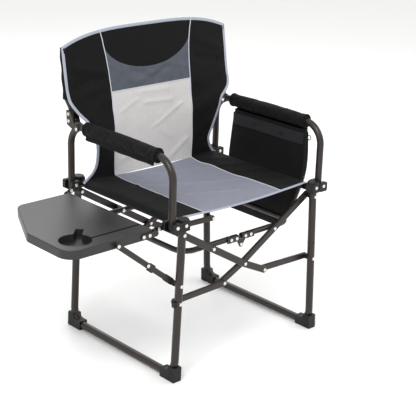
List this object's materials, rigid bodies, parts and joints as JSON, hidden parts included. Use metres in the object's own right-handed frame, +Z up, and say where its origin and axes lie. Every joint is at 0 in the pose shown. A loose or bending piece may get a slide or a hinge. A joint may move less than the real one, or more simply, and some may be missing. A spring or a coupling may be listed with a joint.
{
  "type": "folding director chair",
  "caption": "Folding scissor-frame director chair with padded arms, a sling seat and back, a fold-down side table with a cup well, and a hanging storage pouch.",
  "frame": {"origin": "on the floor, at the centre of the object's outline", "axes": "+Z up, the sitter faces -Y, the side table is on the -X side"},
  "size_m": [0.905, 0.4896, 0.8843],
  "materials": {
    "tube_paint": "satin dark bronze powder coat",
    "rivet_steel": "bright nickel plate",
    "black_plastic": "moulded matt black nylon",
    "table_plastic": "charcoal moulded polypropylene with fine grain",
    "black_fabric": "black oxford polyester",
    "seat_fabric": "grey-lavender oxford polyester",
    "slate_fabric": "slate grey oxford polyester",
    "mesh_fabric": "light grey polyester mesh",
    "piping": "silver grey woven binding",
    "pad_fabric": "black polyester over foam"
  },
  "bodies": {
    "left_frame": {"leg_frame_left": "tube_paint", "foot_corner_left_front": "black_plastic", "foot_corner_left_rear": "black_plastic", "hub_left_front": "black_plastic", "hub_left_rear": "black_plastic", "seat_rail_left": "tube_paint", "arm_tube_left": "tube_paint", "arm_pad_left": "pad_fabric", "rivets_left_frame": "rivet_steel", "link_stop_left": "black_plastic", "seat_sling": "seat_fabric", "back_sling_lower": "mesh_fabric"},
    "right_frame": {"leg_frame_right": "tube_paint", "foot_corner_right_front": "black_plastic", "foot_corner_right_rear": "black_plastic", "hub_right_front": "black_plastic", "hub_right_rear": "black_plastic", "seat_rail_right": "tube_paint", "arm_tube_right": "tube_paint", "arm_pad_right": "pad_fabric", "rivets_right_frame": "rivet_steel", "pivot_bushes_right": "black_plastic", "storage_pouch": "black_fabric", "pouch_ring": "black_plastic"},
    "scissor_a": {"cross_arm_a_front": "tube_paint", "cross_arm_a_rear": "tube_paint", "rivets_scissor_a": "rivet_steel", "brace_spacers": "black_plastic"},
    "scissor_b": {"cross_arm_b_front": "tube_paint", "cross_arm_b_rear": "tube_paint", "rivets_scissor_b": "rivet_steel"},
    "link_left": {"link_left_front": "tube_paint", "link_left_rear": "tube_paint", "link_rivets_left": "rivet_steel"},
    "link_right": {"link_right_front": "tube_paint", "link_right_rear": "tube_paint", "link_rivets_right": "rivet_steel"},
    "brace_left": {"brace_tube_left": "tube_paint", "brace_plates_left": "tube_paint", "rivets_brace_left": "rivet_steel"},
    "brace_right": {"brace_tube_right": "tube_paint", "brace_plates_right": "tube_paint", "rivets_brace_right": "rivet_steel"},
    "back_left": {"back_post_left": "tube_paint", "back_bracket_left": "tube_paint", "back_rivets_left": "rivet_steel", "back_sling_upper": "black_fabric"},
    "back_right": {"back_post_right": "tube_paint", "back_bracket_right": "tube_paint", "back_rivets_right": "rivet_steel"},
    "table": {"table_top": "table_plastic", "table_bracket_front": "tube_paint", "table_bracket_rear": "tube_paint", "rivets_table": "rivet_steel"},
    "strut_lower": {"strut_lower": "tube_paint", "strut_sleeve": "black_plastic", "rivet_strut_knee": "rivet_steel"},
    "strut_upper": {"strut_upper": "tube_paint", "rivet_strut_table": "rivet_steel"},
    "lock_clip": {"strut_lock_clip": "black_plastic"}
  },
  "joints": [
    {"name": "chair_fold", "type": "hinge", "parent": "left_frame", "child": "scissor_a", "pos_m": [-0.10443, 0, 0.422], "axis": [0, 1, 0], "range_deg": [0, 47], "deforming": ["seat_sling", "back_sling_lower", "back_sling_upper"]},
    {"name": "scissor_crossing", "type": "hinge", "parent": "scissor_a", "child": "scissor_b", "pos_m": [0.1475, 0, 0.27], "axis": [0, 1, 0], "range_deg": [-94.01, 0]},
    {"name": "right_frame_pivot", "type": "hinge", "parent": "scissor_b", "child": "right_frame", "pos_m": [0.39943, 0, 0.422], "axis": [0, 1, 0], "range_deg": [0, 47.01]},
    {"name": "link_left_pivot", "type": "hinge", "parent": "left_frame", "child": "link_left", "pos_m": [-0.11278, 0, 0.227], "axis": [0, 1, 0], "range_deg": [0, 77.86]},
    {"name": "link_right_pivot", "type": "hinge", "parent": "right_frame", "child": "link_right", "pos_m": [0.40778, 0, 0.227], "axis": [0, 1, 0], "range_deg": [-77.86, 0]},
    {"name": "brace_left_pivot", "type": "hinge", "parent": "scissor_a", "child": "brace_left", "pos_m": [0.02406, 0, 0.34448], "axis": [0, 1, 0], "range_deg": [-132.94, 0]},
    {"name": "brace_centre_pin", "type": "hinge", "parent": "brace_left", "child": "brace_right", "pos_m": [0.1475, 0, 0.32348], "axis": [0, 1, 0], "range_deg": [0, 171.86]},
    {"name": "back_fold", "type": "hinge", "parent": "left_frame", "child": "back_left", "pos_m": [-0.1325, 0.178, 0.622], "axis": [1, 0, 0], "range_deg": [0, 82], "deforming": ["back_sling_lower", "back_sling_upper"]},
    {"name": "back_right_pivot", "type": "hinge", "parent": "right_frame", "child": "back_right", "pos_m": [0.4275, 0.178, 0.622], "axis": [1, 0, 0], "range_deg": [0, 82.01]},
    {"name": "table_fold", "type": "hinge", "parent": "left_frame", "child": "table", "pos_m": [-0.1565, 0, 0.441], "axis": [0, -1, 0], "range_deg": [0, 90]},
    {"name": "strut_leg_pivot", "type": "hinge", "parent": "left_frame", "child": "strut_lower", "pos_m": [-0.11059, -0.209, 0.278], "axis": [0, -1, 0], "range_deg": [0, 97.61]},
    {"name": "strut_knee", "type": "hinge", "parent": "strut_lower", "child": "strut_upper", "pos_m": [-0.20755, -0.2135, 0.3555], "axis": [0, -1, 0], "range_deg": [-161.11, 0]},
    {"name": "lock_clip_slide", "type": "slide", "parent": "strut_lower", "child": "lock_clip", "axis": [0.7811, 0, -0.6244], "range_m": [0, 0.018]}
  ],
  "couplings": [
    {"joint": "scissor_crossing", "follows": "chair_fold", "ratio": -2},
    {"joint": "right_frame_pivot", "follows": "chair_fold", "ratio": 1},
    {"joint": "link_left_pivot", "follows": "chair_fold", "ratio": 1.6564},
    {"joint": "link_right_pivot", "follows": "chair_fold", "ratio": -1.6564},
    {"joint": "brace_left_pivot", "follows": "chair_fold", "ratio": -2.8282},
    {"joint": "brace_centre_pin", "follows": "chair_fold", "ratio": 3.6564},
    {"joint": "back_right_pivot", "follows": "back_fold", "ratio": 1},
    {"joint": "strut_leg_pivot", "follows": "table_fold", "ratio": 1.0844},
    {"joint": "strut_knee", "follows": "table_fold", "ratio": -1.79}
  ]
}
